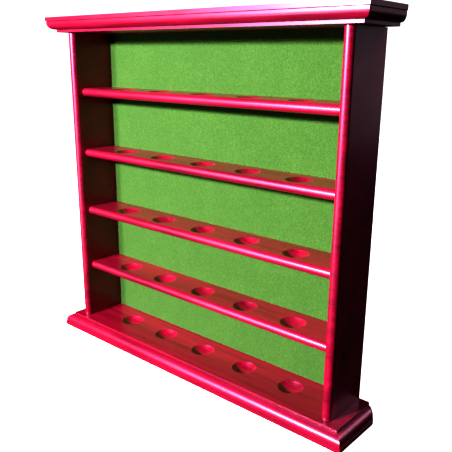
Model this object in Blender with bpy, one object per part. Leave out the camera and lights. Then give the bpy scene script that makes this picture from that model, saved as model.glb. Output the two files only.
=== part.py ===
"""Open-fronted display cabinet for golf balls, with every board and every fastener as its own solid.

Units are metres and +Z is up. The open front faces -Y and the back faces +Y. The origin lies on the
surface that the cabinet stands on, at the middle of the cabinet's outline.
"""

import math

import bmesh
import bpy
from mathutils import Matrix, Vector

# Driving dimensions of the cabinet.
ROWS = 5
CUPS_PER_ROW = 5
INNER_WIDTH = 0.328
ROW_CLEAR = 0.0575
SHELF_THICKNESS = 0.009
SIDE_THICKNESS = 0.009
BOARD_THICKNESS = 0.015
BOARD_WIDTH = 0.385
BOARD_DEPTH = 0.066
SIDE_FRONT_SETBACK = 0.013
SHELF_FRONT_SETBACK = 0.0085
BACK_THICKNESS = 0.0025
BAIZE_THICKNESS = 0.0008
REBATE_WIDTH = 0.004

# The routed edge of the top and base boards: a wide fillet, a small step, a short upright flat, a
# quarter round and a flat soffit. It stops at the rear, where both corners are rounded.
FILLET_HEIGHT = 0.0038
FILLET_STEP = 0.0009
OVOLO_FLAT = 0.0024
OVOLO_RADIUS = 0.006
OVOLO_SEGMENTS = 6
MOULDING_INSET = 0.0083
REAR_CORNER_RADIUS = 0.011
REAR_CORNER_SEGMENTS = 6
NOSE_SEGMENTS = 8

# The dished cups. Their cutter is smaller than a golf ball, so a ball rests on the rim.
CUTTER_RADIUS = 0.016
CUP_RIM_RADIUS = 0.0124
CUP_PITCH = 0.057
CUP_TO_BAIZE = 0.0224
CUP_RINGS = 3
CUP_SEGMENTS = 18

# Dowels, screws and panel pins.
DOWEL_RADIUS = 0.0025
DOWEL_CHAMFER = 0.0006
SHELF_DOWEL_IN_SIDE = 0.006
SHELF_DOWEL_IN_SHELF = 0.014
TOP_DOWEL_IN_BOARD = 0.009
TOP_DOWEL_IN_SIDE = 0.013
SCREW_RADIUS = 0.0015
SCREW_HEAD_RADIUS = 0.003
SCREW_LENGTH = 0.035
HANGER_SCREW_RADIUS = 0.00125
HANGER_SCREW_HEAD_RADIUS = 0.0025
HANGER_SCREW_LENGTH = 0.012
PIN_RADIUS = 0.0006
PIN_HEAD_RADIUS = 0.0013
PIN_HEAD_HEIGHT = 0.0005
PIN_LENGTH = 0.012
PINS_PER_SIDE = 4
FASTENER_SEGMENTS = 12

# The two keyhole plates let into the back edge of the top board.
PLATE_WIDTH = 0.040
PLATE_HEIGHT = 0.0104
PLATE_THICKNESS = 0.0012
PLATE_CORNER = 0.002
PLATE_OFFSET = 0.120
PLATE_SCREW_OFFSET = 0.0145
KEYHOLE_RADIUS = 0.00275
KEYHOLE_SLOT_RADIUS = 0.0014
KEYHOLE_DROP = 0.0012
KEYHOLE_RISE = 0.0024
POCKET_WIDTH = 0.012
POCKET_HEIGHT = 0.0086
POCKET_DEPTH = 0.007

# Space between touching pieces, and the depth that a head lies below its surface.
GAP = 0.0003
CLEARANCE = 0.0002
RECESS = 0.0004
OVERRUN = 0.002

# Derived planes and positions.
HEIGHT = 2 * BOARD_THICKNESS + ROWS * ROW_CLEAR + (ROWS - 1) * SHELF_THICKNESS
FRONT = -BOARD_DEPTH / 2
REAR = BOARD_DEPTH / 2
INNER_X = INNER_WIDTH / 2
OUTER_X = INNER_X + SIDE_THICKNESS
SIDE_FRONT = FRONT + SIDE_FRONT_SETBACK
SHELF_FRONT = SIDE_FRONT + SHELF_FRONT_SETBACK
BACK_FRONT = REAR - BACK_THICKNESS
BAIZE_BACK = BACK_FRONT - GAP
BAIZE_FRONT = BAIZE_BACK - BAIZE_THICKNESS
CUP_Y = BAIZE_FRONT - CUP_TO_BAIZE
CARCASE_LOW = BOARD_THICKNESS + GAP
CARCASE_HIGH = HEIGHT - BOARD_THICKNESS - GAP
JOINT_Y = {"front": SHELF_FRONT + 0.011, "rear": SHELF_FRONT + 0.029}
SIDES = {"left": -1, "right": 1}

# Finishes: colour, roughness and metallic value.
FINISHES = {
    "mahogany_lacquer": ((0.30, 0.012, 0.022, 1.0), 0.22, 0.0),
    "green_baize": ((0.16, 0.42, 0.10, 1.0), 0.95, 0.0),
    "bare_plywood": ((0.55, 0.38, 0.22, 1.0), 0.75, 0.0),
    "beech_dowel": ((0.70, 0.50, 0.30, 1.0), 0.70, 0.0),
    "zinc_steel": ((0.60, 0.60, 0.58, 1.0), 0.35, 1.0),
    "brass_plate": ((0.75, 0.56, 0.26, 1.0), 0.30, 1.0),
}


def clear_scene():
    for obj in list(bpy.data.objects):
        bpy.data.objects.remove(obj, do_unlink=True)


def make_materials():
    materials = {}
    for name, (colour, roughness, metallic) in FINISHES.items():
        material = bpy.data.materials.new(name)
        material.use_nodes = True
        shader = material.node_tree.nodes["Principled BSDF"]
        shader.inputs["Base Color"].default_value = colour
        shader.inputs["Roughness"].default_value = roughness
        shader.inputs["Metallic"].default_value = metallic
        material.diffuse_color = colour
        materials[name] = material
    return materials


def arc(centre, radius, start, end, segments):
    """Points along an arc in a plane, both ends included. Angles are in degrees."""
    points = []
    for i in range(segments + 1):
        angle = math.radians(start + (end - start) * i / segments)
        points.append((centre[0] + radius * math.cos(angle), centre[1] + radius * math.sin(angle)))
    return points


def prism(outline, low, high):
    """A closed outline in XY, raised from z = low to z = high."""
    bm = bmesh.new()
    face = bm.faces.new([bm.verts.new((x, y, low)) for x, y in outline])
    raised = bmesh.ops.extrude_face_region(bm, geom=[face])["geom"]
    moved = [item for item in raised if isinstance(item, bmesh.types.BMVert)]
    bmesh.ops.translate(bm, verts=moved, vec=(0, 0, high - low))
    bmesh.ops.recalc_face_normals(bm, faces=bm.faces)
    return bm


def turned(profile, segments):
    """A solid turned about +Z from (radius, height) points that start and end on the axis."""
    bm = bmesh.new()
    verts = [bm.verts.new((radius, 0, height)) for radius, height in profile]
    edges = [bm.edges.new(pair) for pair in zip(verts, verts[1:])]
    bmesh.ops.spin(
        bm,
        geom=verts + edges,
        cent=(0, 0, 0),
        axis=(0, 0, 1),
        angle=math.tau,
        steps=segments,
        use_merge=True,
    )
    bmesh.ops.remove_doubles(bm, verts=bm.verts, dist=1e-6)
    bmesh.ops.recalc_face_normals(bm, faces=bm.faces)
    return bm


def add_object(name, bm, material=None):
    mesh = bpy.data.meshes.new(name)
    bm.to_mesh(mesh)
    bm.free()
    mesh.shade_smooth()
    mesh.set_sharp_from_angle(angle=math.radians(30))
    if material:
        mesh.materials.append(material)
    obj = bpy.data.objects.new(name, mesh)
    bpy.context.collection.objects.link(obj)
    return obj


def pose(location, direction):
    """The matrix that stands a piece modelled along +Z at a location, pointing along a direction."""
    turn = Vector(direction).to_track_quat("Z", "Y").to_matrix().to_4x4()
    return Matrix.Translation(location) @ turn


def add_cutter(name, shape, poses):
    """One hidden object that holds a copy of a shape at each pose."""
    bm = bmesh.new()
    for matrix in poses:
        copy = shape()
        copy.transform(matrix)
        mesh = bpy.data.meshes.new(name)
        copy.to_mesh(mesh)
        copy.free()
        bm.from_mesh(mesh)
        bpy.data.meshes.remove(mesh)
    cutter = add_object(name, bm)
    cutter.hide_render = True
    cutter.display_type = "WIRE"
    return cutter


def cut(targets, cutter):
    for target in targets:
        modifier = target.modifiers.new(cutter.name, "BOOLEAN")
        modifier.operation = "DIFFERENCE"
        modifier.solver = "EXACT"
        modifier.object = cutter


def routed_profile():
    """(inset, height) points up the edge of a board that lies with its wide fillet at the bottom."""
    centre = (FILLET_STEP + OVOLO_RADIUS, FILLET_HEIGHT + OVOLO_FLAT)
    quarter = arc(centre, OVOLO_RADIUS, 180, 90, OVOLO_SEGMENTS)
    soffit = quarter[-1][1]
    fillet = [(0, 0), (0, FILLET_HEIGHT), (FILLET_STEP, FILLET_HEIGHT)]
    return fillet + quarter + [(MOULDING_INSET, soffit), (MOULDING_INSET, BOARD_THICKNESS)]


def board_outline(inset):
    """Once round a board in XY, with rear corners whose rounding shrinks as the edge steps in."""
    x = BOARD_WIDTH / 2 - inset
    radius = REAR_CORNER_RADIUS - inset
    right = arc((x - radius, REAR - radius), radius, 0, 90, REAR_CORNER_SEGMENTS)
    left = [(-corner_x, corner_y) for corner_x, corner_y in reversed(right)]
    return [(-x, FRONT + inset), (x, FRONT + inset)] + right + left


def routed_board(name, material, fillet_at_top):
    """A board whose edge is routed along the front and both ends, and cut flush along the back."""
    low = HEIGHT - BOARD_THICKNESS if fillet_at_top else 0
    bm = bmesh.new()
    loops = []
    for inset, height in routed_profile():
        z = low + (BOARD_THICKNESS - height if fillet_at_top else height)
        loops.append([bm.verts.new((x, y, z)) for x, y in board_outline(inset)])
    for lower, upper in zip(loops, loops[1:]):
        for i in range(len(lower)):
            j = (i + 1) % len(lower)
            bm.faces.new([lower[i], lower[j], upper[j], upper[i]])
    bm.faces.new(loops[0])
    bm.faces.new(loops[-1])
    bmesh.ops.remove_doubles(bm, verts=bm.verts, dist=1e-6)
    bmesh.ops.recalc_face_normals(bm, faces=bm.faces)
    return add_object(name, bm, material)


def side_panel(name, sign, material):
    """An upright board with a full round nose at the front and a rebate for the back panel."""
    radius = SIDE_THICKNESS / 2
    middle = (INNER_X + radius, SIDE_FRONT + radius)
    nose = arc(middle, radius, 180, 360, NOSE_SEGMENTS)
    shoulder = BACK_FRONT - GAP
    rebate = [(OUTER_X, REAR), (INNER_X + REBATE_WIDTH, REAR), (INNER_X + REBATE_WIDTH, shoulder)]
    outline = nose + rebate + [(INNER_X, shoulder)]
    outline = [(sign * x, y) for x, y in outline]
    return add_object(name, prism(outline, CARCASE_LOW, CARCASE_HIGH), material)


def shelf_top(row):
    """The height of the surface that the balls of a row lie on. Row 0 is the base board's."""
    return BOARD_THICKNESS + row * (ROW_CLEAR + SHELF_THICKNESS)


def shelf(row, material):
    """A shelf with a full round nose. Its outline is drawn in YZ and run along X."""
    radius = SHELF_THICKNESS / 2
    middle = (SHELF_FRONT + radius, shelf_top(row) - radius)
    nose = arc(middle, radius, 90, 270, NOSE_SEGMENTS)
    rear = BAIZE_FRONT - GAP
    outline = nose + [(rear, middle[1] - radius), (rear, middle[1] + radius)]
    bm = prism(outline, -INNER_X + GAP, INNER_X - GAP)
    bm.transform(Matrix(((0, 0, 1, 0), (1, 0, 0, 0), (0, 1, 0, 0), (0, 0, 0, 1))))
    return add_object(f"shelf_{row}", bm, material)


def cup_shape():
    """The ball-ended cutter. It stands with its lowest point below z = 0, the surface that it cuts."""
    centre = math.sqrt(CUTTER_RADIUS**2 - CUP_RIM_RADIUS**2)
    past_rim = math.degrees(math.asin(CUP_RIM_RADIUS / CUTTER_RADIUS)) * CUP_RINGS / (CUP_RINGS - 0.5)
    profile = arc((0, centre), CUTTER_RADIUS, -90, -90 + past_rim, CUP_RINGS)
    profile[0] = (0, profile[0][1])
    return turned(profile + [(0, profile[-1][1])], CUP_SEGMENTS)


def cup_poses(row):
    middle = (CUPS_PER_ROW - 1) / 2
    xs = [(i - middle) * CUP_PITCH for i in range(CUPS_PER_ROW)]
    return [Matrix.Translation((x, CUP_Y, shelf_top(row))) for x in xs]


def dowel_shape(length, extra=0.0):
    """A chamfered dowel from z = 0 to z = length, made larger all over by extra."""
    radius = DOWEL_RADIUS + extra
    low, high = -extra, length + extra
    slim = radius - DOWEL_CHAMFER
    profile = [(0, low), (slim, low), (radius, low + DOWEL_CHAMFER), (radius, high - DOWEL_CHAMFER)]
    return turned(profile + [(slim, high), (0, high)], FASTENER_SEGMENTS)


def screw_shape(radius, head_radius, length, extra=0.0, above_head=0.0):
    """A countersunk screw whose head face is at z = 0 and whose tip points along +Z."""
    cone = head_radius - radius
    rim = head_radius / 10
    profile = [(0, -above_head), (head_radius + extra, -above_head), (head_radius + extra, rim)]
    profile += [(radius + extra, rim + cone), (radius + extra, length - 2 * radius), (0, length + extra)]
    return turned(profile, FASTENER_SEGMENTS)


def cross_recess(head_radius):
    """The cross-shaped driver recess of a screw head."""
    reach = head_radius * 0.6
    half = head_radius * 0.13
    quarter = [(half, half), (half, reach), (-half, reach)]
    outline = []
    for turn in range(4):
        for x, y in quarter:
            for _ in range(turn):
                x, y = -y, x
            outline.append((x, y))
    return prism(outline, -OVERRUN, head_radius * 0.55)


def pin_shape(extra=0.0, above_head=0.0):
    """A flat-headed panel pin whose head face is at z = 0 and whose tip points along +Z."""
    head = PIN_HEAD_RADIUS + extra
    shank = PIN_RADIUS + extra
    neck = PIN_HEAD_HEIGHT + extra
    profile = [(0, -above_head), (head, -above_head), (head, neck), (shank, neck)]
    profile += [(shank, PIN_LENGTH - 2 * PIN_RADIUS), (0, PIN_LENGTH + extra)]
    return turned(profile, FASTENER_SEGMENTS // 2)


def rounded_rectangle(width, height, radius):
    outline = []
    for i, (sx, sy) in enumerate(((1, 1), (-1, 1), (-1, -1), (1, -1))):
        corner = (sx * (width / 2 - radius), sy * (height / 2 - radius))
        outline += arc(corner, radius, 90 * i, 90 * i + 90, 4)
    return outline


def keyhole():
    """The outline of a round hole with a narrow slot that rises from it."""
    half_mouth = math.degrees(math.asin(KEYHOLE_SLOT_RADIUS / KEYHOLE_RADIUS))
    round_hole = arc((0, -KEYHOLE_DROP), KEYHOLE_RADIUS, 90 + half_mouth, 450 - half_mouth, 16)
    slot_end = arc((0, KEYHOLE_RISE), KEYHOLE_SLOT_RADIUS, 0, 180, 6)
    return round_hole + slot_end


def hanger_plate(name, pose_matrix, material):
    bm = prism(rounded_rectangle(PLATE_WIDTH, PLATE_HEIGHT, PLATE_CORNER), 0, PLATE_THICKNESS)
    bm.transform(pose_matrix)
    return add_object(name, bm, material)


def plate_bed():
    """The shallow bed that a hanger plate is let into."""
    grow = 2 * CLEARANCE
    outline = rounded_rectangle(PLATE_WIDTH + grow, PLATE_HEIGHT + grow, PLATE_CORNER)
    return prism(outline, -OVERRUN, PLATE_THICKNESS + CLEARANCE)


def head_pocket():
    """The deeper pocket behind a keyhole, where the wall screw's head goes."""
    outline = rounded_rectangle(POCKET_WIDTH, POCKET_HEIGHT, PLATE_CORNER)
    return prism(outline, 0, POCKET_DEPTH)


def back_pose(x, z, depth):
    """A place on the rear face, looking into the cabinet, with local Y pointing up."""
    look = Matrix(((1, 0, 0, 0), (0, 0, -1, 0), (0, 1, 0, 0), (0, 0, 0, 1)))
    return Matrix.Translation((x, REAR - depth, z)) @ look


def add_fasteners(names, shape, poses, material):
    for name, matrix in zip(names, poses):
        bm = shape()
        bm.transform(matrix)
        yield add_object(name, bm, material)


def build_carcase(materials):
    wood = materials["mahogany_lacquer"]
    parts = {
        "top": routed_board("top_board", wood, fillet_at_top=True),
        "base": routed_board("base_board", wood, fillet_at_top=False),
    }
    for side, sign in SIDES.items():
        parts[side] = side_panel(f"{side}_side", sign, wood)
    for row in range(1, ROWS):
        parts[row] = shelf(row, wood)
    for row in range(ROWS):
        cutter = add_cutter(f"cup_cutter_{row}", cup_shape, cup_poses(row))
        cut([parts[row] if row else parts["base"]], cutter)
    return parts


def build_back(materials):
    """The back panel that drops into the side panels' rebates, and the baize glued to its face."""
    half = INNER_X + REBATE_WIDTH - GAP
    rectangle = [(-half, BACK_FRONT), (half, BACK_FRONT), (half, REAR), (-half, REAR)]
    panel = add_object("back_panel", prism(rectangle, CARCASE_LOW, CARCASE_HIGH), materials["bare_plywood"])
    half = INNER_X - GAP
    rectangle = [(-half, BAIZE_FRONT), (half, BAIZE_FRONT), (half, BAIZE_BACK), (-half, BAIZE_BACK)]
    add_object("baize_lining", prism(rectangle, CARCASE_LOW, CARCASE_HIGH), materials["green_baize"])
    return panel


def fit_shelf_dowels(parts, materials):
    """Two blind dowels in each end of each shelf."""
    length = SHELF_DOWEL_IN_SHELF + SHELF_DOWEL_IN_SIDE
    names = []
    poses = []
    for row in range(1, ROWS):
        for side, sign in SIDES.items():
            for place, y in JOINT_Y.items():
                start = (sign * (INNER_X - SHELF_DOWEL_IN_SHELF), y, shelf_top(row) - SHELF_THICKNESS / 2)
                names.append(f"shelf_{row}_dowel_{side}_{place}")
                poses.append(pose(start, (sign, 0, 0)))
    list(add_fasteners(names, lambda: dowel_shape(length), poses, materials["beech_dowel"]))
    for side, sign in SIDES.items():
        mine = [matrix for matrix in poses if matrix.translation.x * sign > 0]
        cutter = add_cutter(f"shelf_dowel_holes_{side}", lambda: dowel_shape(length, CLEARANCE), mine)
        cut([parts[side]] + [parts[row] for row in range(1, ROWS)], cutter)


def fit_top_dowels(parts, materials):
    """Two upright dowels between each side panel and the top board."""
    length = TOP_DOWEL_IN_SIDE + TOP_DOWEL_IN_BOARD
    start = HEIGHT - BOARD_THICKNESS - TOP_DOWEL_IN_SIDE
    names = []
    poses = []
    for side, sign in SIDES.items():
        for place, y in JOINT_Y.items():
            names.append(f"top_dowel_{side}_{place}")
            poses.append(pose((sign * (INNER_X + SIDE_THICKNESS / 2), y, start), (0, 0, 1)))
    list(add_fasteners(names, lambda: dowel_shape(length), poses, materials["beech_dowel"]))
    cutter = add_cutter("top_dowel_holes", lambda: dowel_shape(length, CLEARANCE), poses)
    cut([parts["left"], parts["right"], parts["top"]], cutter)


def fit_base_screws(parts, materials):
    """Two countersunk screws driven up through the base board into each side panel."""
    size = (SCREW_RADIUS, SCREW_HEAD_RADIUS, SCREW_LENGTH)
    names = []
    poses = []
    for side, sign in SIDES.items():
        for place, y in JOINT_Y.items():
            names.append(f"base_screw_{side}_{place}")
            poses.append(pose((sign * (INNER_X + SIDE_THICKNESS / 2), y, RECESS), (0, 0, 1)))
    screws = add_fasteners(names, lambda: screw_shape(*size), poses, materials["zinc_steel"])
    recesses = add_cutter("base_screw_recesses", lambda: cross_recess(SCREW_HEAD_RADIUS), poses)
    cut(screws, recesses)
    holes = add_cutter("base_screw_holes", lambda: screw_shape(*size, CLEARANCE, OVERRUN), poses)
    cut([parts["left"], parts["right"], parts["base"]], holes)


def fit_panel_pins(parts, panel, materials):
    """Panel pins that hold the back panel against the shoulders of the side panels' rebates."""
    spacing = (HEIGHT - 2 * BOARD_THICKNESS) / PINS_PER_SIDE
    names = []
    poses = []
    for side, sign in SIDES.items():
        for i in range(PINS_PER_SIDE):
            z = BOARD_THICKNESS + spacing * (i + 0.5)
            names.append(f"panel_pin_{side}_{i + 1}")
            poses.append(back_pose(sign * (INNER_X + REBATE_WIDTH / 2), z, CLEARANCE))
    list(add_fasteners(names, pin_shape, poses, materials["zinc_steel"]))
    holes = add_cutter("panel_pin_holes", lambda: pin_shape(CLEARANCE, OVERRUN), poses)
    cut([parts["left"], parts["right"], panel], holes)


def fit_hangers(parts, materials):
    """Two keyhole plates, each let into the back edge of the top board and held by two screws."""
    size = (HANGER_SCREW_RADIUS, HANGER_SCREW_HEAD_RADIUS, HANGER_SCREW_LENGTH)
    z = HEIGHT - BOARD_THICKNESS / 2
    plate_poses = []
    plates = []
    names = []
    screw_poses = []
    for side, sign in SIDES.items():
        plate_poses.append(back_pose(sign * PLATE_OFFSET, z, CLEARANCE))
        plates.append(hanger_plate(f"hanger_plate_{side}", plate_poses[-1], materials["brass_plate"]))
        for place, offset in (("inner", -PLATE_SCREW_OFFSET), ("outer", PLATE_SCREW_OFFSET)):
            names.append(f"hanger_screw_{side}_{place}")
            screw_poses.append(back_pose(sign * (PLATE_OFFSET + offset), z, 2 * CLEARANCE))
    cut(plates, add_cutter("keyholes", lambda: prism(keyhole(), -OVERRUN, OVERRUN), plate_poses))
    cut([parts["top"]], add_cutter("plate_beds", plate_bed, plate_poses))
    cut([parts["top"]], add_cutter("head_pockets", head_pocket, plate_poses))
    screws = add_fasteners(names, lambda: screw_shape(*size), screw_poses, materials["zinc_steel"])
    recesses = add_cutter("hanger_screw_recesses", lambda: cross_recess(size[1]), screw_poses)
    cut(screws, recesses)
    holes = add_cutter("hanger_screw_holes", lambda: screw_shape(*size, CLEARANCE, OVERRUN), screw_poses)
    cut(plates + [parts["top"]], holes)


clear_scene()
finishes = make_materials()
carcase = build_carcase(finishes)
back = build_back(finishes)
fit_shelf_dowels(carcase, finishes)
fit_top_dowels(carcase, finishes)
fit_base_screws(carcase, finishes)
fit_panel_pins(carcase, back, finishes)
fit_hangers(carcase, finishes)
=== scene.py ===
"""The looks of an open-fronted golf ball display cabinet: lacquered boards, baize back and hardware.

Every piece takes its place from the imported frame. Metres, +Z up, the open front faces -Y.
"""

import math

import bmesh
import bpy
from mathutils import Matrix, Vector, noise


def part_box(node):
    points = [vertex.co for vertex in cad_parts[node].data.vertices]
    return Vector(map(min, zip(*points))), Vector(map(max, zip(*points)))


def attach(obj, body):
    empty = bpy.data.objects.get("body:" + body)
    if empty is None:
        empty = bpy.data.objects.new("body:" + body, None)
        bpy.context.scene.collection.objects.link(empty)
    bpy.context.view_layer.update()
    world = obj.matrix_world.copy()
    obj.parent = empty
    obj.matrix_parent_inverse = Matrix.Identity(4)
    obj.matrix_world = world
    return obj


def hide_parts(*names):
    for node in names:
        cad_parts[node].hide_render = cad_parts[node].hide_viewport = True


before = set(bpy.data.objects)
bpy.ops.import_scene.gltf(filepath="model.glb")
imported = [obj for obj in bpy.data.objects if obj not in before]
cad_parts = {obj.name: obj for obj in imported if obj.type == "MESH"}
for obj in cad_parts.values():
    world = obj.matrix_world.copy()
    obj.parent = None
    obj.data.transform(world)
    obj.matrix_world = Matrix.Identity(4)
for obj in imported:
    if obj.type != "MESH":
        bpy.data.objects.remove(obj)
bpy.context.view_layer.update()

# Planes of the cabinet, from the frame.
BASE_LOW, BASE_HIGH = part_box("base_board")
TOP_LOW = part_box("top_board")[0]
BAIZE_LOW, BAIZE_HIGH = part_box("baize_lining")
PANEL_LOW, PANEL_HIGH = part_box("back_panel")
HALF_WIDTH = BASE_HIGH.x
FRONT = BASE_LOW.y
REAR = BASE_HIGH.y
BOARD_THICKNESS = BASE_HIGH.z - BASE_LOW.z
SHELVES = ("shelf_1", "shelf_2", "shelf_3", "shelf_4")

# The routed edge of the top and base boards.
FILLET_HEIGHT = 0.0038
FILLET_STEP = 0.0009
OVOLO_FLAT = 0.0024
OVOLO_RADIUS = 0.006
OVOLO_SEGMENTS = 18
MOULDING_INSET = 0.0083
REAR_CORNER_RADIUS = 0.011
REAR_CORNER_SEGMENTS = 24
ARRIS = 0.00025
QUIRK = 0.0006
INNER_QUIRK = 0.7 * QUIRK
MITRE_TOLERANCE = 0.00005

# The dished cups.
CUPS_PER_ROW = 5
CUP_PITCH = 0.057
CUP_RADIUS = 0.0124
CUP_TO_BAIZE = 0.0224
CUTTER_RADIUS = 0.016
CUP_SEGMENTS = 72
DISH_SEGMENTS = 14

# The rounded lip of a cup, and the overrun of its cutter. Angles are in degrees. The set-out is a
# share of the lip's radius, and the lift a share of its drop.
LIP_RADIUS = 0.0009
LIP_SEGMENTS = 6
LIP_END = 78.0
LIP_SLOPE = 0.6 * (90 - LIP_END)
LIP_SET_OUT = 0.25
LIP_OVERRUN = 0.0012
LIP_LIFT = 0.02

# The round noses of the sides and shelves, and the rebate for the back panel.
NOSE_SEGMENTS = 28
BACK_ARRIS_SEGMENTS = 4
REBATE_WIDTH = 0.004
REBATE_CLEARANCE = 0.0003
REBATE_DEPTH = REAR - PANEL_LOW.y + REBATE_CLEARANCE

# The countersinks under the base board.
COUNTERSINK_BORE = 0.0017
COUNTERSINK_CLEARANCE = 0.0003
COUNTERSINK_FLARE = 0.0009
COUNTERSINK_SET_BACK = 0.001
COUNTERSINK_SEGMENTS = 48

# How far a cutter stands clear of the face that it cuts.
OVERCUT = 0.002
SHALLOW_OVERCUT = 0.001

# Radii below this are on the axis, and points nearer together than this are merged.
ON_AXIS = 1e-7
MERGE_DISTANCE = 1e-6

# Keyhole plates, the beds and pockets that they cover, and their screw holes.
CORNER_SEGMENTS = 8
PLATE_CORNER = 0.002
PLATE_ARRIS = 0.00012
BED_CLEARANCE = 0.0004
BED_DEPTH_CLEARANCE = 0.0001
POCKET_WIDTH = 0.012
POCKET_HEIGHT = 0.0086
POCKET_DEPTH = 0.007
KEYHOLE_RADIUS = 0.00275
KEYHOLE_SEGMENTS = 32
KEYHOLE_DROP = 0.0012
SLOT_RADIUS = 0.0014
SLOT_SEGMENTS = 12
SLOT_RISE = 0.0024
PLATE_SCREW_OFFSET = 0.0145
PLATE_HOLE_SEGMENTS = 48
PLATE_HOLE_FLARE = 0.0037
PLATE_HOLE_MOUTH = 0.0027
PLATE_HOLE_BORE = 0.0015
PLATE_HOLE_CONE = 0.0013
PLATE_HOLE_END = 0.003


# ---------------------------------------------------------------- mesh helpers


def arc(centre, radius, start, end, segments):
    """Points along an arc, both ends included. Angles are in degrees."""
    points = []
    for i in range(segments + 1):
        angle = math.radians(start + (end - start) * i / segments)
        points.append((centre[0] + radius * math.cos(angle), centre[1] + radius * math.sin(angle)))
    return points


def prism(outline, low, high):
    """A closed outline in XY, raised from z = low to z = high."""
    bm = bmesh.new()
    face = bm.faces.new([bm.verts.new((x, y, low)) for x, y in outline])
    raised = bmesh.ops.extrude_face_region(bm, geom=[face])["geom"]
    moved = [item for item in raised if isinstance(item, bmesh.types.BMVert)]
    bmesh.ops.translate(bm, verts=moved, vec=(0, 0, high - low))
    bmesh.ops.recalc_face_normals(bm, faces=bm.faces)
    return bm


def turned(profile, segments):
    """A solid turned about +Z from (radius, height) points that start and end on the axis."""
    bm = bmesh.new()
    rings = []
    for radius, height in profile:
        if radius < ON_AXIS:
            rings.append([bm.verts.new((0, 0, height))])
            continue
        angles = [math.tau * i / segments for i in range(segments)]
        rings.append([bm.verts.new((radius * math.cos(a), radius * math.sin(a), height)) for a in angles])
    for low, high in zip(rings, rings[1:]):
        for i in range(segments):
            j = (i + 1) % segments
            corners = [low[i % len(low)], low[j % len(low)], high[j % len(high)], high[i % len(high)]]
            bm.faces.new(list(dict.fromkeys(corners)))
    bmesh.ops.recalc_face_normals(bm, faces=bm.faces)
    return bm


def joined(shapes):
    """One mesh from several, each a (bmesh, matrix) pair."""
    bm = bmesh.new()
    for shape, matrix in shapes:
        shape.transform(matrix)
        mesh = bpy.data.meshes.new("joined")
        shape.to_mesh(mesh)
        shape.free()
        bm.from_mesh(mesh)
        bpy.data.meshes.remove(mesh)
    return bm


def rounded_rectangle(width, height, radius):
    """An outline about the origin with round corners."""
    outline = []
    for i, (sx, sy) in enumerate(((1, 1), (-1, 1), (-1, -1), (1, -1))):
        corner = (sx * (width / 2 - radius), sy * (height / 2 - radius))
        outline += arc(corner, radius, 90 * i, 90 * i + 90, CORNER_SEGMENTS)
    return outline


def add_object(name, bm, material=None):
    """Puts a bmesh into the scene as an object, and frees it."""
    mesh = bpy.data.meshes.new(name)
    bm.to_mesh(mesh)
    bm.free()
    if material:
        mesh.materials.append(material)
    obj = bpy.data.objects.new(name, mesh)
    bpy.context.collection.objects.link(obj)
    return obj


def bake_modifiers(obj):
    """Puts what the modifiers make into the object's own mesh."""
    bpy.context.view_layer.update()
    graph = bpy.context.evaluated_depsgraph_get()
    mesh = bpy.data.meshes.new_from_object(obj.evaluated_get(graph), depsgraph=graph)
    mesh.name = obj.name
    obj.modifiers.clear()
    obj.data = mesh


def carve(obj, *cutters):
    """Cuts each cutter, a bmesh, out of the object."""
    helpers = [add_object(f"{obj.name}_cutter_{i}", bm) for i, bm in enumerate(cutters)]
    for helper in helpers:
        modifier = obj.modifiers.new("carve", "BOOLEAN")
        modifier.operation = "DIFFERENCE"
        modifier.solver = "EXACT"
        modifier.object = helper
    bake_modifiers(obj)
    for helper in helpers:
        bpy.data.objects.remove(helper, do_unlink=True)


def soften(obj, width, segments=3, angle=40.0):
    """Rounds the arrises sharper than an angle, in degrees."""
    modifier = obj.modifiers.new("soften", "BEVEL")
    modifier.limit_method = "ANGLE"
    modifier.angle_limit = math.radians(angle)
    modifier.width = width
    modifier.segments = segments
    bake_modifiers(obj)


def shade(obj, angle=38.0):
    """Smooth shading that keeps flats flat and arrises crisp."""
    obj.data.shade_smooth()
    obj.data.set_sharp_from_angle(angle=math.radians(angle))
    modifier = obj.modifiers.new("weighted_normals", "WEIGHTED_NORMAL")
    modifier.mode = "FACE_AREA"
    modifier.keep_sharp = True
    modifier.weight = 100


def node_names(prefix):
    return sorted(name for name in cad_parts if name.startswith(prefix))


def measured(node):
    """A node's lowest corner, its highest corner and its centre."""
    low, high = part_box(node)
    return low, high, (low + high) / 2


def looking_in(x, y, z):
    """A place on the rear face, with local Z pointing into the cabinet and local Y up."""
    return Matrix.Translation((x, y, z)) @ Matrix(((1, 0, 0, 0), (0, 0, -1, 0), (0, 1, 0, 0), (0, 0, 0, 1)))


def place(obj, node):
    """The piece stands for a CAD node and moves with its body."""
    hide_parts(node)
    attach(obj, "root")


# ---------------------------------------------------------------- materials


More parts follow.
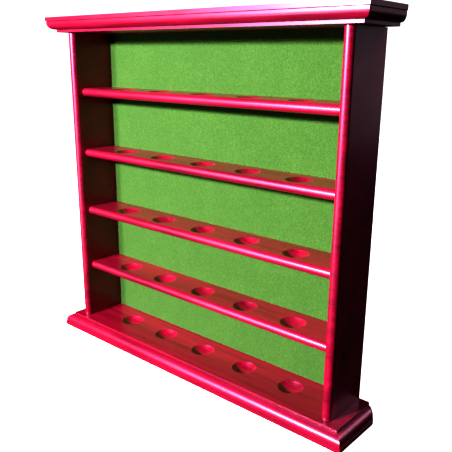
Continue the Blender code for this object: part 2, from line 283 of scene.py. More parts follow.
class Tree:
    """A short way to write a material's nodes."""

    def __init__(self, name):
        self.material = bpy.data.materials.new(name)
        self.material.use_nodes = True
        self.nodes = self.material.node_tree.nodes
        self.links = self.material.node_tree.links
        self.shader = self.nodes["Principled BSDF"]

    def link(self, value, socket):
        """Links an output to a socket, or sets the socket to a plain value."""
        if isinstance(value, bpy.types.NodeSocket):
            self.links.new(value, socket)
        else:
            socket.default_value = value

    def surface(self, inputs):
        """Sets or links inputs of the material's shader."""
        for key, value in inputs.items():
            self.link(value, self.shader.inputs[key])

    def node(self, kind, output, inputs=None, **settings):
        """Adds a node and returns one of its outputs."""
        node = self.nodes.new(kind)
        for key, value in settings.items():
            setattr(node, key, value)
        for key, value in (inputs or {}).items():
            self.link(value, node.inputs[key])
        return node.outputs[output]

    def mapped(self, scale, location=(0, 0, 0), rotation=(0, 0, 0)):
        """The piece's own coordinates in metres, stretched, then turned, then moved."""
        place_of = self.node("ShaderNodeTexCoord", "Object")
        inputs = {"Vector": place_of, "Location": location, "Rotation": rotation, "Scale": scale}
        return self.node("ShaderNodeMapping", "Vector", inputs)

    def noise(self, vector, scale, detail=4.0, roughness=0.5, distortion=0.0):
        inputs = {
            "Vector": vector,
            "Scale": scale,
            "Detail": detail,
            "Roughness": roughness,
            "Distortion": distortion,
        }
        return self.node("ShaderNodeTexNoise", "Fac", inputs)

    def ramp(self, value, *stops):
        """A colour ramp from (position, colour) stops."""
        node = self.nodes.new("ShaderNodeValToRGB")
        elements = node.color_ramp.elements
        while len(elements) < len(stops):
            elements.new(0.5)
        for element, (position, colour) in zip(elements, stops):
            element.position = position
            element.color = (*colour, 1.0)
        self.links.new(value, node.inputs["Fac"])
        return node.outputs["Color"]

    def band(self, value, low, high, to_low, to_high):
        """Maps low..high to to_low..to_high, and holds the ends."""
        inputs = {"Value": value, "From Min": low, "From Max": high, "To Min": to_low, "To Max": to_high}
        return self.node("ShaderNodeMapRange", "Result", inputs)

    def grey(self, value):
        """A grey as bright as the value."""
        inputs = {"Red": value, "Green": value, "Blue": value}
        return self.node("ShaderNodeCombineColor", "Color", inputs)

    def mix(self, factor, a, b, blend="MIX"):
        """Blends two colours. A Mix node's sockets share names, so its colour sockets go by number."""
        node = self.nodes.new("ShaderNodeMix")
        node.data_type = "RGBA"
        node.blend_type = blend
        self.link(factor, node.inputs["Factor"])
        for value, socket in ((a, node.inputs[6]), (b, node.inputs[7])):
            self.link((*value, 1.0) if isinstance(value, tuple) else value, socket)
        return node.outputs[2]

    def math(self, operation, a, b=0.0):
        node = self.nodes.new("ShaderNodeMath")
        node.operation = operation
        self.link(a, node.inputs[0])
        self.link(b, node.inputs[1])
        return node.outputs[0]

    def bump(self, height, distance, strength=1.0, normal=None):
        inputs = {"Height": height, "Distance": distance, "Strength": strength}
        if normal:
            inputs["Normal"] = normal
        return self.node("ShaderNodeBump", "Normal", inputs)

    def edges(self, radius):
        """0 on flats, towards 1 where the surface turns within a radius of an arris."""
        rounded = self.node("ShaderNodeBevel", "Normal", {"Radius": radius}, samples=6)
        true = self.node("ShaderNodeNewGeometry", "Normal")
        node = self.nodes.new("ShaderNodeVectorMath")
        node.operation = "DOT_PRODUCT"
        self.links.new(rounded, node.inputs[0])
        self.links.new(true, node.inputs[1])
        return self.math("SUBTRACT", 1.0, node.outputs["Value"])


def grain_frame(along, offset):
    """(location, rotation) that take each board from another part of the log.

    The Mapping node scales before it turns, so the grain runs along X on the upright boards as well.
    """
    turn = {"x": (0, 0, 0), "z": (0, math.pi / 2, 0)}[along]
    return (offset * 0.37, offset * 0.23, offset * 0.31), turn


def lacquered_mahogany(name, along, offset):
    """Red-stained mahogany under satin lacquer, with its grain along X."""
    tree = Tree(name)
    location, rotation = grain_frame(along, offset)
    figure = tree.noise(tree.mapped((3.0, 26.0, 26.0), location, rotation), 1.0, 3.0, 0.55, 0.6)
    pores = tree.noise(tree.mapped((45.0, 900.0, 900.0), location, rotation), 1.0, 2.0, 0.6)
    streaks = tree.noise(tree.mapped((9.0, 240.0, 240.0), location, rotation), 1.0, 4.0, 0.6)
    stain = tree.ramp(
        figure,
        (0.30, (0.150, 0.0016, 0.0140)),
        (0.52, (0.235, 0.0022, 0.0215)),
        (0.74, (0.320, 0.0032, 0.0300)),
    )
    streaked = tree.grey(tree.band(streaks, 0.36, 0.54, 0.55, 1.0))
    grained = tree.mix(0.8, stain, streaked, "MULTIPLY")
    pore_mask = tree.band(pores, 0.30, 0.40, 0.55, 0.0)
    pored = tree.mix(pore_mask, grained, (0.055, 0.0008, 0.0030))
    # Painted highlight: the surface is lightened towards a bright red wherever it turns at an arris or lip.
    painted_arris_highlight = tree.band(tree.edges(0.0007), 0.05, 0.5, 0.0, 0.35)
    tree.link(tree.mix(painted_arris_highlight, pored, (0.72, 0.030, 0.050)), tree.shader.inputs["Base Color"])

    haze = tree.noise(tree.mapped((14.0, 30.0, 30.0), location, rotation), 1.0, 3.0, 0.6)
    tree.link(tree.band(haze, 0.3, 0.7, 0.34, 0.43), tree.shader.inputs["Roughness"])
    peel = tree.noise(tree.mapped((420.0, 420.0, 420.0), location), 1.0, 2.0, 0.5)
    peeled = tree.bump(peel, 0.00004, 0.5)
    tree.link(tree.bump(pores, 0.00003, 0.5, peeled), tree.shader.inputs["Normal"])
    tree.link(peeled, tree.shader.inputs["Coat Normal"])
    tree.surface({
        "Specular IOR Level": 1.0,
        "Specular Tint": (1.0, 0.36, 0.80, 1.0),
        "Coat Weight": 0.26,
        "Coat Roughness": 0.17,
    })
    return tree.material


def green_baize():
    """Napped wool cloth: mottled green, brushed one way, matt with a soft sheen."""
    tree = Tree("green_baize")
    blotch = tree.noise(tree.mapped((620.0, 620.0, 520.0)), 1.0, 4.0, 0.7, 0.4)
    nap = tree.noise(tree.mapped((1100.0, 1100.0, 950.0)), 1.0, 5.0, 0.75)
    fibre = tree.noise(tree.mapped((2600.0, 2600.0, 700.0)), 1.0, 3.0, 0.7)
    ground = tree.ramp(
        blotch,
        (0.32, (0.022, 0.066, 0.009)),
        (0.50, (0.036, 0.091, 0.015)),
        (0.68, (0.058, 0.130, 0.027)),
    )
    cloud = tree.noise(tree.mapped((38.0, 38.0, 22.0)), 1.0, 4.0, 0.6, 0.8)
    cloudy = tree.mix(tree.band(cloud, 0.36, 0.64, 0.34, 0.0), ground, (0.020, 0.060, 0.009))
    napped = tree.mix(tree.band(nap, 0.38, 0.60, 0.0, 0.65), cloudy, (0.022, 0.070, 0.010))
    lit = tree.mix(tree.band(fibre, 0.45, 0.75, 0.0, 0.45), napped, (0.095, 0.185, 0.050))
    tree.link(lit, tree.shader.inputs["Base Color"])
    tree.surface({
        "Roughness": 0.95,
        "Specular IOR Level": 0.15,
        "Sheen Weight": 0.25,
        "Sheen Roughness": 0.5,
        "Sheen Tint": (0.55, 0.90, 0.45, 1.0),
    })
    rough = tree.bump(nap, 0.00035, 0.8)
    tree.link(tree.bump(fibre, 0.00012, 0.8, rough), tree.shader.inputs["Normal"])
    return tree.material


def plywood():
    """The bare rotary-cut face of a thin plywood sheet."""
    tree = Tree("plywood")
    swirl = tree.noise(tree.mapped((7.0, 7.0, 1.4)), 1.0, 3.0, 0.5, 0.8)
    growth = {
        "Vector": tree.mapped((16.0, 16.0, 1.1)),
        "Scale": 1.0,
        "Distortion": 9.0,
        "Detail": 3.0,
        "Detail Scale": 0.9,
    }
    rings = tree.node("ShaderNodeTexWave", "Fac", growth, wave_type="BANDS", bands_direction="X")
    fine = tree.noise(tree.mapped((700.0, 700.0, 22.0)), 1.0, 3.0, 0.6)
    base = tree.ramp(swirl, (0.3, (0.46, 0.30, 0.165)), (0.7, (0.62, 0.44, 0.265)))
    ringed = tree.mix(tree.band(rings, 0.55, 0.95, 0.0, 0.40), base, (0.36, 0.215, 0.110))
    grained = tree.mix(tree.band(fine, 0.38, 0.52, 0.35, 0.0), ringed, (0.27, 0.16, 0.085))
    tree.link(grained, tree.shader.inputs["Base Color"])
    tree.link(tree.band(fine, 0.3, 0.7, 0.82, 0.64), tree.shader.inputs["Roughness"])
    tree.link(tree.bump(fine, 0.0001, 0.6), tree.shader.inputs["Normal"])
    return tree.material


def beech():
    """Bare beech with its short dark flecks."""
    tree = Tree("beech")
    fleck = tree.noise(tree.mapped((900.0, 900.0, 900.0)), 1.0, 2.0, 0.6)
    tone = tree.noise(tree.mapped((60.0, 60.0, 60.0)), 1.0, 2.0)
    base = tree.ramp(tone, (0.3, (0.56, 0.37, 0.20)), (0.7, (0.70, 0.50, 0.30)))
    flecked = tree.mix(tree.band(fleck, 0.32, 0.42, 0.6, 0.0), base, (0.30, 0.16, 0.07))
    tree.link(flecked, tree.shader.inputs["Base Color"])
    tree.link(tree.band(tone, 0.3, 0.7, 0.62, 0.75), tree.shader.inputs["Roughness"])
    tree.link(tree.bump(fleck, 0.00004, 0.5), tree.shader.inputs["Normal"])
    return tree.material


def plated_metal(name, dark, bright, stain, rough_low, rough_high):
    """Plated or rolled metal: fine scratches, cloudy plating and a stain along its edges."""
    tree = Tree(name)
    cloud = tree.noise(tree.mapped((180.0, 180.0, 180.0)), 1.0, 3.0, 0.6)
    scratch = tree.noise(tree.mapped((260.0, 4200.0, 4200.0)), 1.0, 2.0, 0.6)
    base = tree.ramp(cloud, (0.3, dark), (0.7, bright))
    edged = tree.mix(tree.band(tree.edges(0.0003), 0.05, 0.6, 0.0, 0.5), base, stain)
    tree.link(edged, tree.shader.inputs["Base Color"])
    tree.shader.inputs["Metallic"].default_value = 1.0
    tree.link(tree.band(scratch, 0.3, 0.7, rough_low, rough_high), tree.shader.inputs["Roughness"])
    tree.link(tree.bump(scratch, 0.00001, 0.6), tree.shader.inputs["Normal"])
    return tree.material


# ---------------------------------------------------------------- boards


def routed_profile():
    """(inset, height) points up the edge of a board that lies with its wide fillet at the bottom.

    A narrow V-shaped quirk runs along both inner corners of the moulding.
    """
    centre = (FILLET_STEP + OVOLO_RADIUS, FILLET_HEIGHT + OVOLO_FLAT)
    quarter = arc(centre, OVOLO_RADIUS, 180, 90, OVOLO_SEGMENTS)
    soffit = quarter[-1][1]
    fillet = [(0, 0), (0, FILLET_HEIGHT), (FILLET_STEP + QUIRK, FILLET_HEIGHT)]
    quirk = [(FILLET_STEP, FILLET_HEIGHT + QUIRK)]
    riser = [(MOULDING_INSET + INNER_QUIRK, soffit), (MOULDING_INSET, soffit + INNER_QUIRK)]
    return fillet + quirk + quarter + riser + [(MOULDING_INSET, BOARD_THICKNESS)]


def board_outline(inset):
    """Once round a board in XY, with rear corners whose rounding shrinks as the edge steps in."""
    x = HALF_WIDTH - inset
    radius = REAR_CORNER_RADIUS - inset
    right = arc((x - radius, REAR - radius), radius, 0, 90, REAR_CORNER_SEGMENTS)
    left = [(-corner_x, corner_y) for corner_x, corner_y in reversed(right)]
    return [(-x, FRONT + inset), (x, FRONT + inset)] + right + left


def routed_board(name, material, low, fillet_at_top):
    """A board routed along the front and both ends with mitred corners, and cut flush at the back."""
    bm = bmesh.new()
    loops = []
    for inset, height in routed_profile():
        z = low + (BOARD_THICKNESS - height if fillet_at_top else height)
        loops.append([bm.verts.new((x, y, z)) for x, y in board_outline(inset)])
    for lower, upper in zip(loops, loops[1:]):
        for i in range(len(lower)):
            j = (i + 1) % len(lower)
            bm.faces.new([lower[i], lower[j], upper[j], upper[i]])
    bm.faces.new(loops[0])
    bm.faces.new(loops[-1])
    bmesh.ops.remove_doubles(bm, verts=bm.verts, dist=MERGE_DISTANCE)
    bmesh.ops.recalc_face_normals(bm, faces=bm.faces)
    board = add_object(name, bm, material)
    soften(board, ARRIS)
    return board


def cup_cutter():
    """The cutter of a round dish whose lip rolls over into the flat that it is cut in, at z = 0."""
    drop = LIP_RADIUS * (1 - math.cos(math.radians(LIP_END)))
    reach = CUTTER_RADIUS + LIP_RADIUS
    lip_x = CUP_RADIUS + LIP_RADIUS * (1 - math.sin(math.radians(LIP_END))) + LIP_RADIUS * LIP_SET_OUT
    lip_z = -LIP_RADIUS
    centre_z = lip_z + math.sqrt(reach**2 - lip_x**2)
    meet = math.degrees(math.asin(lip_x / reach))
    dish = arc((0, centre_z), CUTTER_RADIUS, -90, -90 + meet, DISH_SEGMENTS)
    dish[0] = (0, dish[0][1])
    lip = arc((lip_x, lip_z), LIP_RADIUS, 90 + meet, 90 + LIP_SLOPE, LIP_SEGMENTS)
    lip_end_x, lip_end_z = lip[-1]
    rim_x = lip_end_x + LIP_OVERRUN
    rim_z = lip_end_z + LIP_OVERRUN * math.tan(math.radians(LIP_SLOPE)) + drop * LIP_LIFT
    return turned(dish[:-1] + lip + [(rim_x, rim_z), (rim_x, OVERCUT), (0, OVERCUT)], CUP_SEGMENTS)


def cup_row(height):
    """The cutters of one row of cups, in a face at a height."""
    middle = (CUPS_PER_ROW - 1) / 2
    y = BAIZE_LOW.y - CUP_TO_BAIZE
    places = [Matrix.Translation(((i - middle) * CUP_PITCH, y, height)) for i in range(CUPS_PER_ROW)]
    return joined([(cup_cutter(), matrix) for matrix in places])


def crease_mitres(board):
    """Keeps the mitred front corners crisp where the moulding turns nearly level."""
    mesh = board.data
    for edge in mesh.edges:
        ends = [mesh.vertices[i].co for i in edge.vertices]
        if all(abs(HALF_WIDTH - abs(end.x) - (end.y - FRONT)) < MITRE_TOLERANCE for end in ends):
            edge.use_edge_sharp = True


def countersinks():
    """The cutters of the holes under the base board that its screws sit in."""
    holes = []
    for name in node_names("base_screw_"):
        low, high, centre = measured(name)
        head = (high.x - low.x) / 2
        mouth = [(0, -OVERCUT), (head + COUNTERSINK_FLARE, -OVERCUT), (head + COUNTERSINK_CLEARANCE, low.z)]
        cone_top = low.z + head - COUNTERSINK_SET_BACK
        above = BOARD_THICKNESS + OVERCUT
        bore = [(COUNTERSINK_BORE, cone_top), (COUNTERSINK_BORE, above), (0, above)]
        hole = turned(mouth + bore, COUNTERSINK_SEGMENTS)
        holes.append((hole, Matrix.Translation((centre.x, centre.y, 0))))
    return joined(holes)


def bed_hangers(board):
    """Lets the keyhole plates and their pockets into the back edge of the top board."""
    beds = []
    pockets = []
    for name in node_names("hanger_plate_"):
        low, high, centre = measured(name)
        width, _, height = high - low
        matrix = looking_in(centre.x, REAR, centre.z)
        depth = REAR - low.y + BED_DEPTH_CLEARANCE
        bed = rounded_rectangle(width + BED_CLEARANCE, height + BED_CLEARANCE, PLATE_CORNER)
        beds.append((prism(bed, -OVERCUT, depth), matrix))
        pocket = rounded_rectangle(POCKET_WIDTH, POCKET_HEIGHT, PLATE_CORNER)
        pockets.append((prism(pocket, 0, POCKET_DEPTH), matrix))
    carve(board, joined(beds), joined(pockets))


def side_panel(name, material):
    """An upright board with a full round nose at the front and a rebate for the back panel."""
    low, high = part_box(name)
    sign = 1 if high.x > 0 else -1
    inner, outer = sorted((abs(low.x), abs(high.x)))
    radius = (outer - inner) / 2
    nose = arc((inner + radius, low.y + radius), radius, 180, 360, NOSE_SEGMENTS)
    back_arris = arc((outer - ARRIS, high.y - ARRIS), ARRIS, 0, 90, BACK_ARRIS_SEGMENTS)
    shoulder = high.y - REBATE_DEPTH
    rebate = [(inner + REBATE_WIDTH, high.y), (inner + REBATE_WIDTH, shoulder), (inner, shoulder)]
    outline = [(sign * x, y) for x, y in nose + back_arris + rebate]
    panel = add_object(name + "_board", prism(outline, low.z, high.z), material)
    shade(panel)
    return panel


def shelf_board(name, material):
    """A shelf with a full round nose and a row of cups."""
    low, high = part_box(name)
    radius = (high.z - low.z) / 2
    nose = arc((low.y + radius, high.z - radius), radius, 90, 270, NOSE_SEGMENTS)
    bm = prism(nose + [(high.y, low.z), (high.y, high.z)], low.x, high.x)
    lie_along_x = Matrix(((0, 0, 1, 0), (1, 0, 0, 0), (0, 1, 0, 0), (0, 0, 0, 1)))
    bm.transform(lie_along_x)
    board = add_object(name + "_board", bm, material)
    carve(board, cup_row(high.z))
    shade(board)
    return board


def build_boards():
    """Both routed boards, the sides and the shelves, each with its own offset into the grain."""
    lacquer = lacquered_mahogany("lacquer_top", "x", offset=1.0)
    top = routed_board("cornice_board", lacquer, TOP_LOW.z, fillet_at_top=True)
    bed_hangers(top)
    shade(top)
    crease_mitres(top)
    place(top, "top_board")
    lacquer = lacquered_mahogany("lacquer_base", "x", offset=2.3)
    base = routed_board("plinth_board", lacquer, BASE_LOW.z, fillet_at_top=False)
    carve(base, cup_row(BASE_HIGH.z))
    carve(base, countersinks())
    shade(base)
    crease_mitres(base)
    place(base, "base_board")
    for i, name in enumerate(("left_side", "right_side")):
        lacquer = lacquered_mahogany(f"lacquer_{name}", "z", offset=4.1 + 1.9 * i)
        place(side_panel(name, lacquer), name)
    for i, name in enumerate(SHELVES):
        lacquer = lacquered_mahogany(f"lacquer_{name}", "x", offset=7.7 + 1.3 * i)
        place(shelf_board(name, lacquer), name)


# ---------------------------------------------------------------- baize


BAIZE_CELL = 0.0025
BAIZE_RIPPLE = 0.00012
BAIZE_ROLL = 0.0008
BAIZE_ROLL_DROP = 0.6
ROLL_STEPS = (0.0, 0.12, 0.35, 0.65, 1.0)
RIPPLES_ACROSS = 160
RIPPLES_UP = 130
RIPPLE_DIMENSION = 0.9
RIPPLE_LACUNARITY = 2.1
RIPPLE_OCTAVES = 3


def spaced(low, high):
    """Positions from low to high, closer together next to both ends."""
    edge = [BAIZE_ROLL * t for t in ROLL_STEPS]
    count = round((high - low - 2 * BAIZE_ROLL) / BAIZE_CELL)
    step = (high - low - 2 * BAIZE_ROLL) / count
    inside = [low + BAIZE_ROLL + step * i for i in range(1, count)]
    return [low + e for e in edge] + inside + [high - e for e in reversed(edge)]


def ripple(x, z):
    """How far the face of the cloth dips at a place, from 0 to 1."""
    point = Vector((x * RIPPLES_ACROSS, 0, z * RIPPLES_UP))
    wave = 0.5 + 0.5 * noise.fractal(point, RIPPLE_DIMENSION, RIPPLE_LACUNARITY, RIPPLE_OCTAVES)
    return min(max(wave, 0), 1)


def baize_sheet():
    """The cloth on the back panel: a thin sheet with a gently uneven face and edges that roll back."""
    xs = spaced(BAIZE_LOW.x, BAIZE_HIGH.x)
    zs = spaced(BAIZE_LOW.z, BAIZE_HIGH.z)
    thickness = BAIZE_HIGH.y - BAIZE_LOW.y
    bm = bmesh.new()
    front = []
    back = []
    for x in xs:
        column = []
        rear = []
        for z in zs:
            to_edge = min(x - xs[0], xs[-1] - x, z - zs[0], zs[-1] - z, BAIZE_ROLL) / BAIZE_ROLL
            roll = 1 - math.sqrt(1 - (1 - to_edge) ** 2)
            depth = ripple(x, z) * BAIZE_RIPPLE + roll * thickness * BAIZE_ROLL_DROP
            column.append(bm.verts.new((x, BAIZE_LOW.y + depth, z)))
            rear.append(bm.verts.new((x, BAIZE_HIGH.y, z)))
        front.append(column)
        back.append(rear)
    for i in range(len(xs) - 1):
        for j in range(len(zs) - 1):
            bm.faces.new((front[i][j], front[i + 1][j], front[i + 1][j + 1], front[i][j + 1]))
            bm.faces.new((back[i][j], back[i][j + 1], back[i + 1][j + 1], back[i + 1][j]))
    edges = [edge for edge in bm.edges if edge.is_boundary]
    bmesh.ops.bridge_loops(bm, edges=edges)
    bmesh.ops.recalc_face_normals(bm, faces=bm.faces)
    sheet = add_object("baize_cloth", bm, green_baize())
    sheet.data.shade_smooth()
    place(sheet, "baize_lining")


# ---------------------------------------------------------------- back and hardware


# Screws.
SCREW_SEGMENTS = 48
BASE_SCREW_RADIUS = 0.0015
BASE_SCREW_PITCH = 0.0013
HANGER_SCREW_RADIUS = 0.00125
HANGER_SCREW_PITCH = 0.0011
RECESS_OVERCUT = 0.0006

# The back panel's arris, its pins, and the dents that their heads sit in.
PIN_SEGMENTS = 32
PIN_RADIUS = 0.0006
PIN_DOME = 0.0002
PIN_HEAD_EDGE = 0.0004
PIN_HEAD_END = 0.0005
PIN_POINT = 0.0015
PANEL_ARRIS = 0.0002
DENT_MOUTH = 0.0017
DENT_FLOOR = 0.0015
DENT_DEPTH = 0.0012

# Dowels.
DOWEL_SEGMENTS = 96
DOWEL_CHAMFER = 0.0006
FLUTES = 24
HALF_FLUTE_DEPTH = 0.00012


def cross_recess(reach, half, depth):
    """A cutter for a cross-shaped driver recess that narrows with depth."""
    flare = 1.15
    narrowing = 0.45
    outline = []
    for turn in range(4):
        for x, y in ((half, half), (half, reach), (-half, reach)):
            for _ in range(turn):
                x, y = -y, x
            outline.append((x, y))
    bm = bmesh.new()
    wide = [bm.verts.new((x * flare, y * flare, -RECESS_OVERCUT)) for x, y in outline]
    slim = [bm.verts.new((x * narrowing, y * narrowing, depth)) for x, y in outline]
    bm.faces.new(wide)
    bm.faces.new(slim)
    for i in range(len(outline)):
        j = (i + 1) % len(outline)
        bm.faces.new((wide[i], wide[j], slim[j], slim[i]))
    bmesh.ops.recalc_face_normals(bm, faces=bm.faces)
    return bm


def screw_body(radius, head, length, pitch):
    """A countersunk wood screw along +Z: flat head, cone, ridged thread and point."""
    rim = head / 10
    shank = radius * 0.9
    root = radius * 0.72
    cone_end = rim + head - radius
    profile = [(0, 0), (head * 0.97, 0), (head, rim * 0.5), (head, rim), (shank, cone_end)]
    z = cone_end + length * 0.25
    profile.append((shank, z))
    point = length - 4 * radius
    while z < point:
        profile += [(radius, z + pitch * 0.4), (radius, z + pitch * 0.5), (root, z + pitch)]
        z += pitch
    return turned(profile + [(0, length)], SCREW_SEGMENTS)


def add_screw(node, matrix, radius, head, length, pitch, material):
    """Puts a screw with a cross recess in its head where the matrix says."""
    screw = add_object(node + "_piece", screw_body(radius, head, length, pitch), material)
    carve(screw, cross_recess(head * 0.6, head * 0.13, head * 0.55))
    screw.data.transform(matrix)
    shade(screw, angle=30.0)
    place(screw, node)


def pin_body():
    """A panel pin along +Z with a shallow domed head."""
    low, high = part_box("panel_pin_left_1")
    head = (high.x - low.x) / 2
    length = high.y - low.y
    profile = []
    for degrees in range(0, 91, 15):
        angle = math.radians(degrees)
        profile.append((head * math.sin(angle), PIN_DOME * (1 - math.cos(angle))))
    profile += [(head, PIN_HEAD_EDGE), (PIN_RADIUS, PIN_HEAD_END), (PIN_RADIUS, length - PIN_POINT)]
    return turned(profile + [(0, length)], PIN_SEGMENTS)


def fluted_dowel(radius, length):
    """A dowel along +Z with chamfered ends and glue flutes."""
    end = radius - DOWEL_CHAMFER
    near = [(0, 0), (end, 0), (radius, DOWEL_CHAMFER)]
    far = [(radius, length - DOWEL_CHAMFER), (end, length), (0, length)]
    bm = turned(near + far, DOWEL_SEGMENTS)
    for vert in bm.verts:
        across = math.hypot(vert.co.x, vert.co.y)
        if across > radius * 0.5:
            turn = math.atan2(vert.co.y, vert.co.x)
            flute = HALF_FLUTE_DEPTH * (1 + math.cos(FLUTES * turn))
            vert.co.x *= 1 - flute / across
            vert.co.y *= 1 - flute / across
    return bm


def build_back_panel():
    """The plywood sheet, dented where its pins are driven in."""
    low, high = PANEL_LOW, PANEL_HIGH
    rectangle = [(low.x, low.y), (high.x, low.y), (high.x, high.y), (low.x, high.y)]
    panel = add_object("back_panel_sheet", prism(rectangle, BASE_HIGH.z, TOP_LOW.z), plywood())
    soften(panel, PANEL_ARRIS, segments=2)
    mouth = [(0, -SHALLOW_OVERCUT), (DENT_MOUTH, -SHALLOW_OVERCUT)]
    bottom = [(DENT_FLOOR, DENT_DEPTH), (0, DENT_DEPTH)]
    dents = []
    for name in node_names("panel_pin_"):
        centre = measured(name)[2]
        dents.append((turned(mouth + bottom, PIN_SEGMENTS), looking_in(centre.x, high.y, centre.z)))
    carve(panel, joined(dents))
    shade(panel)
    place(panel, "back_panel")


def add_dowel(node, matrix, radius, length, material):
    """Puts a dowel where the matrix says."""
    dowel = add_object(node + "_piece", fluted_dowel(radius, length), material)
    dowel.data.transform(matrix)
    shade(dowel, angle=40.0)
    place(dowel, node)


def keyhole():
    """The outline of a round hole with a narrow slot that rises from it."""
    mouth = math.degrees(math.asin(SLOT_RADIUS / KEYHOLE_RADIUS))
    hole = arc((0, -KEYHOLE_DROP), KEYHOLE_RADIUS, 90 + mouth, 450 - mouth, KEYHOLE_SEGMENTS)
    return hole + arc((0, SLOT_RISE), SLOT_RADIUS, 0, 180, SLOT_SEGMENTS)


def plate_screw_hole():
    """A cutter for a countersunk hole through a keyhole plate, from z = 0."""
    cone = [(0, -SHALLOW_OVERCUT), (PLATE_HOLE_FLARE, -SHALLOW_OVERCUT), (PLATE_HOLE_MOUTH, 0)]
    bore = [(PLATE_HOLE_BORE, PLATE_HOLE_CONE), (PLATE_HOLE_BORE, PLATE_HOLE_END), (0, PLATE_HOLE_END)]
    return turned(cone + bore, PLATE_HOLE_SEGMENTS)


def add_hanger(node, material):
    """A keyhole plate with two countersunk screw holes."""
    low, high, centre = measured(node)
    width, thickness, height = high - low
    sheet = prism(rounded_rectangle(width, height, PLATE_CORNER), 0, thickness)
    plate = add_object(node + "_piece", sheet, material)
    cutters = [(prism(keyhole(), -OVERCUT, 2 * OVERCUT), Matrix.Identity(4))]
    for offset in (-PLATE_SCREW_OFFSET, PLATE_SCREW_OFFSET):
        cutters.append((plate_screw_hole(), Matrix.Translation((offset, 0, 0))))
    carve(plate, joined(cutters))
    soften(plate, PLATE_ARRIS, segments=2, angle=50.0)
    plate.data.transform(looking_in(centre.x, high.y, centre.z))
    shade(plate, angle=30.0)
    place(plate, node)


def build_pins(zinc):
    """The pins that hold the back panel in its rebates."""
    for name in node_names("panel_pin_"):
        _, high, centre = measured(name)
        pin = add_object(name + "_piece", pin_body(), zinc)
        pin.data.transform(looking_in(centre.x, high.y, centre.z))
        shade(pin, angle=40.0)
        place(pin, name)


def build_screws(zinc):
    """Screws up through the base board, and screws that hold the keyhole plates."""
    for name in node_names("base_screw_"):
        low, high, centre = measured(name)
        head = (high.x - low.x) / 2
        matrix = Matrix.Translation((centre.x, centre.y, low.z))
        add_screw(name, matrix, BASE_SCREW_RADIUS, head, high.z - low.z, BASE_SCREW_PITCH, zinc)
    for name in node_names("hanger_screw_"):
        low, high, centre = measured(name)
        head = (high.x - low.x) / 2
        matrix = looking_in(centre.x, high.y, centre.z)
        add_screw(name, matrix, HANGER_SCREW_RADIUS, head, high.y - low.y, HANGER_SCREW_PITCH, zinc)


def build_dowels(wood):
    """Level dowels in the ends of the shelves, and upright ones under the top board."""
    for name in node_names("shelf_"):
        if "dowel" in name:
            low, high, centre = measured(name)
            turn = Matrix.Rotation(math.pi / 2, 4, "Y")
            matrix = Matrix.Translation((low.x, centre.y, centre.z)) @ turn
            add_dowel(name, matrix, (high.z - low.z) / 2, high.x - low.x, wood)
    for name in node_names("top_dowel_"):
        low, high, centre = measured(name)
        matrix = Matrix.Translation((centre.x, centre.y, low.z))
        add_dowel(name, matrix, (high.x - low.x) / 2, high.z - low.z, wood)


def build_hardware():
    """The pins, screws, keyhole plates and dowels."""
    zinc = plated_metal(
        "zinc_steel",
        dark=(0.42, 0.42, 0.40),
        bright=(0.62, 0.62, 0.60),
        stain=(0.20, 0.18, 0.15),
        rough_low=0.28,
        rough_high=0.46,
    )
    brass = plated_metal(
        "brass_plate",
        dark=(0.55, 0.38, 0.14),
        bright=(0.78, 0.58, 0.27),
        stain=(0.26, 0.16, 0.06),
        rough_low=0.22,
        rough_high=0.42,
    )
    wood = beech()
    build_pins(zinc)
    build_screws(zinc)
    for name in node_names("hanger_plate_"):
        add_hanger(name, brass)
    build_dowels(wood)


# ---------------------------------------------------------------- stage


FLOOR_DROP = 0.0003
LENS = 48.0
SENSOR_WIDTH = 36.0
SHIFT_X = -0.0203
SHIFT_Y = 0.0125
CAMERA_PLACE = (0.4023, -0.4166, 0.3131)
CAMERA_TILT_DOWN = 15.96
CAMERA_TURN = 40.32
CAMERA_LEAN = 0.71


def area_light(name, location, target, size, power, colour):
    """A square light that points at a target."""
    light = bpy.data.lights.new(name, "AREA")
    light.shape = "SQUARE"
    light.size = size
    light.energy = power
    light.color = colour
    obj = bpy.data.objects.new(name, light)
    bpy.context.collection.objects.link(obj)
    obj.location = location
    obj.rotation_euler = (Vector(target) - Vector(location)).to_track_quat("-Z", "Y").to_euler()


def build_world():
    """A white surround for the camera that adds only a little light."""
    world = bpy.data.worlds.new("studio")
    bpy.context.scene.world = world
    world.use_nodes = True
    nodes = world.node_tree.nodes
    links = world.node_tree.links
    seen = nodes["Background"]
    seen.inputs["Color"].default_value = (1.0, 1.0, 1.0, 1.0)
    dim = nodes.new("ShaderNodeBackground")
    dim.inputs["Color"].default_value = (0.85, 0.88, 1.0, 1.0)
    dim.inputs["Strength"].default_value = 0.012
    path = nodes.new("ShaderNodeLightPath")
    blend = nodes.new("ShaderNodeMixShader")
    links.new(path.outputs["Is Camera Ray"], blend.inputs["Fac"])
    links.new(dim.outputs[0], blend.inputs[1])
    links.new(seen.outputs[0], blend.inputs[2])
    links.new(blend.outputs[0], nodes["World Output"].inputs["Surface"])


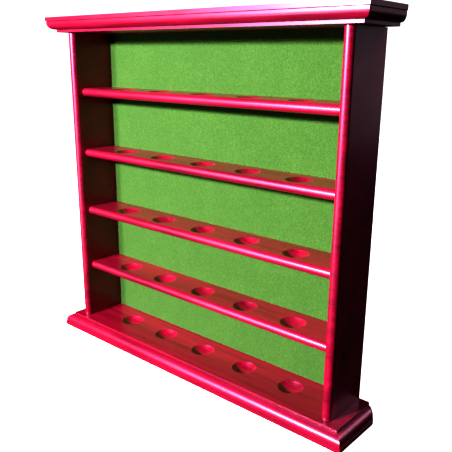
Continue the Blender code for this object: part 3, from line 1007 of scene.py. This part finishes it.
def build_floor():
    """A pale floor just under the cabinet that gives off its own light, unseen by the other surfaces."""
    bm = bmesh.new()
    bmesh.ops.create_grid(bm, x_segments=1, y_segments=1, size=12.0)
    tree = Tree("pale_floor")
    tree.surface({
        "Base Color": (0.93, 0.93, 0.93, 1.0),
        "Roughness": 0.9,
        "Specular IOR Level": 0.0,
        "Emission Color": (1.0, 1.0, 1.0, 1.0),
        "Emission Strength": 0.93,
    })
    floor = add_object("floor", bm, tree.material)
    floor.location.z = -FLOOR_DROP
    floor.visible_diffuse = False
    floor.visible_glossy = False


def build_lights():
    """Two hard lights in front, a low fill, and soft lights above and behind."""
    middle = (0, 0, 0.18)
    area_light("key", (-0.36, -1.00, 0.53), middle, 0.12, 19, (1.0, 0.96, 0.96))
    area_light("front", (-0.18, -1.05, 0.56), middle, 0.07, 34, (1.0, 0.96, 0.96))
    area_light("fill", (-0.40, -0.75, 0.02), (0, 0, 0.06), 0.3, 1.8, (1.0, 0.98, 1.0))
    area_light("overhead", (-0.15, 0.1, 3.1), (0, 0, 0), 1.3, 1.0, (1.0, 0.98, 0.97))
    area_light("right", (1.15, 2.2, 0.35), middle, 0.8, 0.8, (1.0, 0.96, 1.0))
    area_light("behind", (1.0, 2.2, 2.0), middle, 1.6, 22, (1.0, 0.98, 0.96))


def build_camera():
    """The camera, in front of the cabinet and to its right, tilted down and leaning slightly."""
    data = bpy.data.cameras.new("camera")
    data.lens = LENS
    data.sensor_width = SENSOR_WIDTH
    data.shift_x = SHIFT_X
    data.shift_y = SHIFT_Y
    camera = bpy.data.objects.new("camera", data)
    bpy.context.collection.objects.link(camera)
    tilt = Matrix.Rotation(math.radians(90 - CAMERA_TILT_DOWN), 4, "X")
    turn = Matrix.Rotation(math.radians(CAMERA_TURN), 4, "Z")
    lean = Matrix.Rotation(math.radians(CAMERA_LEAN), 4, "Z")
    camera.matrix_world = Matrix.Translation(CAMERA_PLACE) @ turn @ tilt @ lean
    bpy.context.scene.camera = camera


bpy.context.scene.view_settings.view_transform = "Standard"
bpy.context.scene.view_settings.look = "High Contrast"
build_camera()
build_boards()
build_back_panel()
baize_sheet()
build_hardware()
build_world()
build_floor()
build_lights()
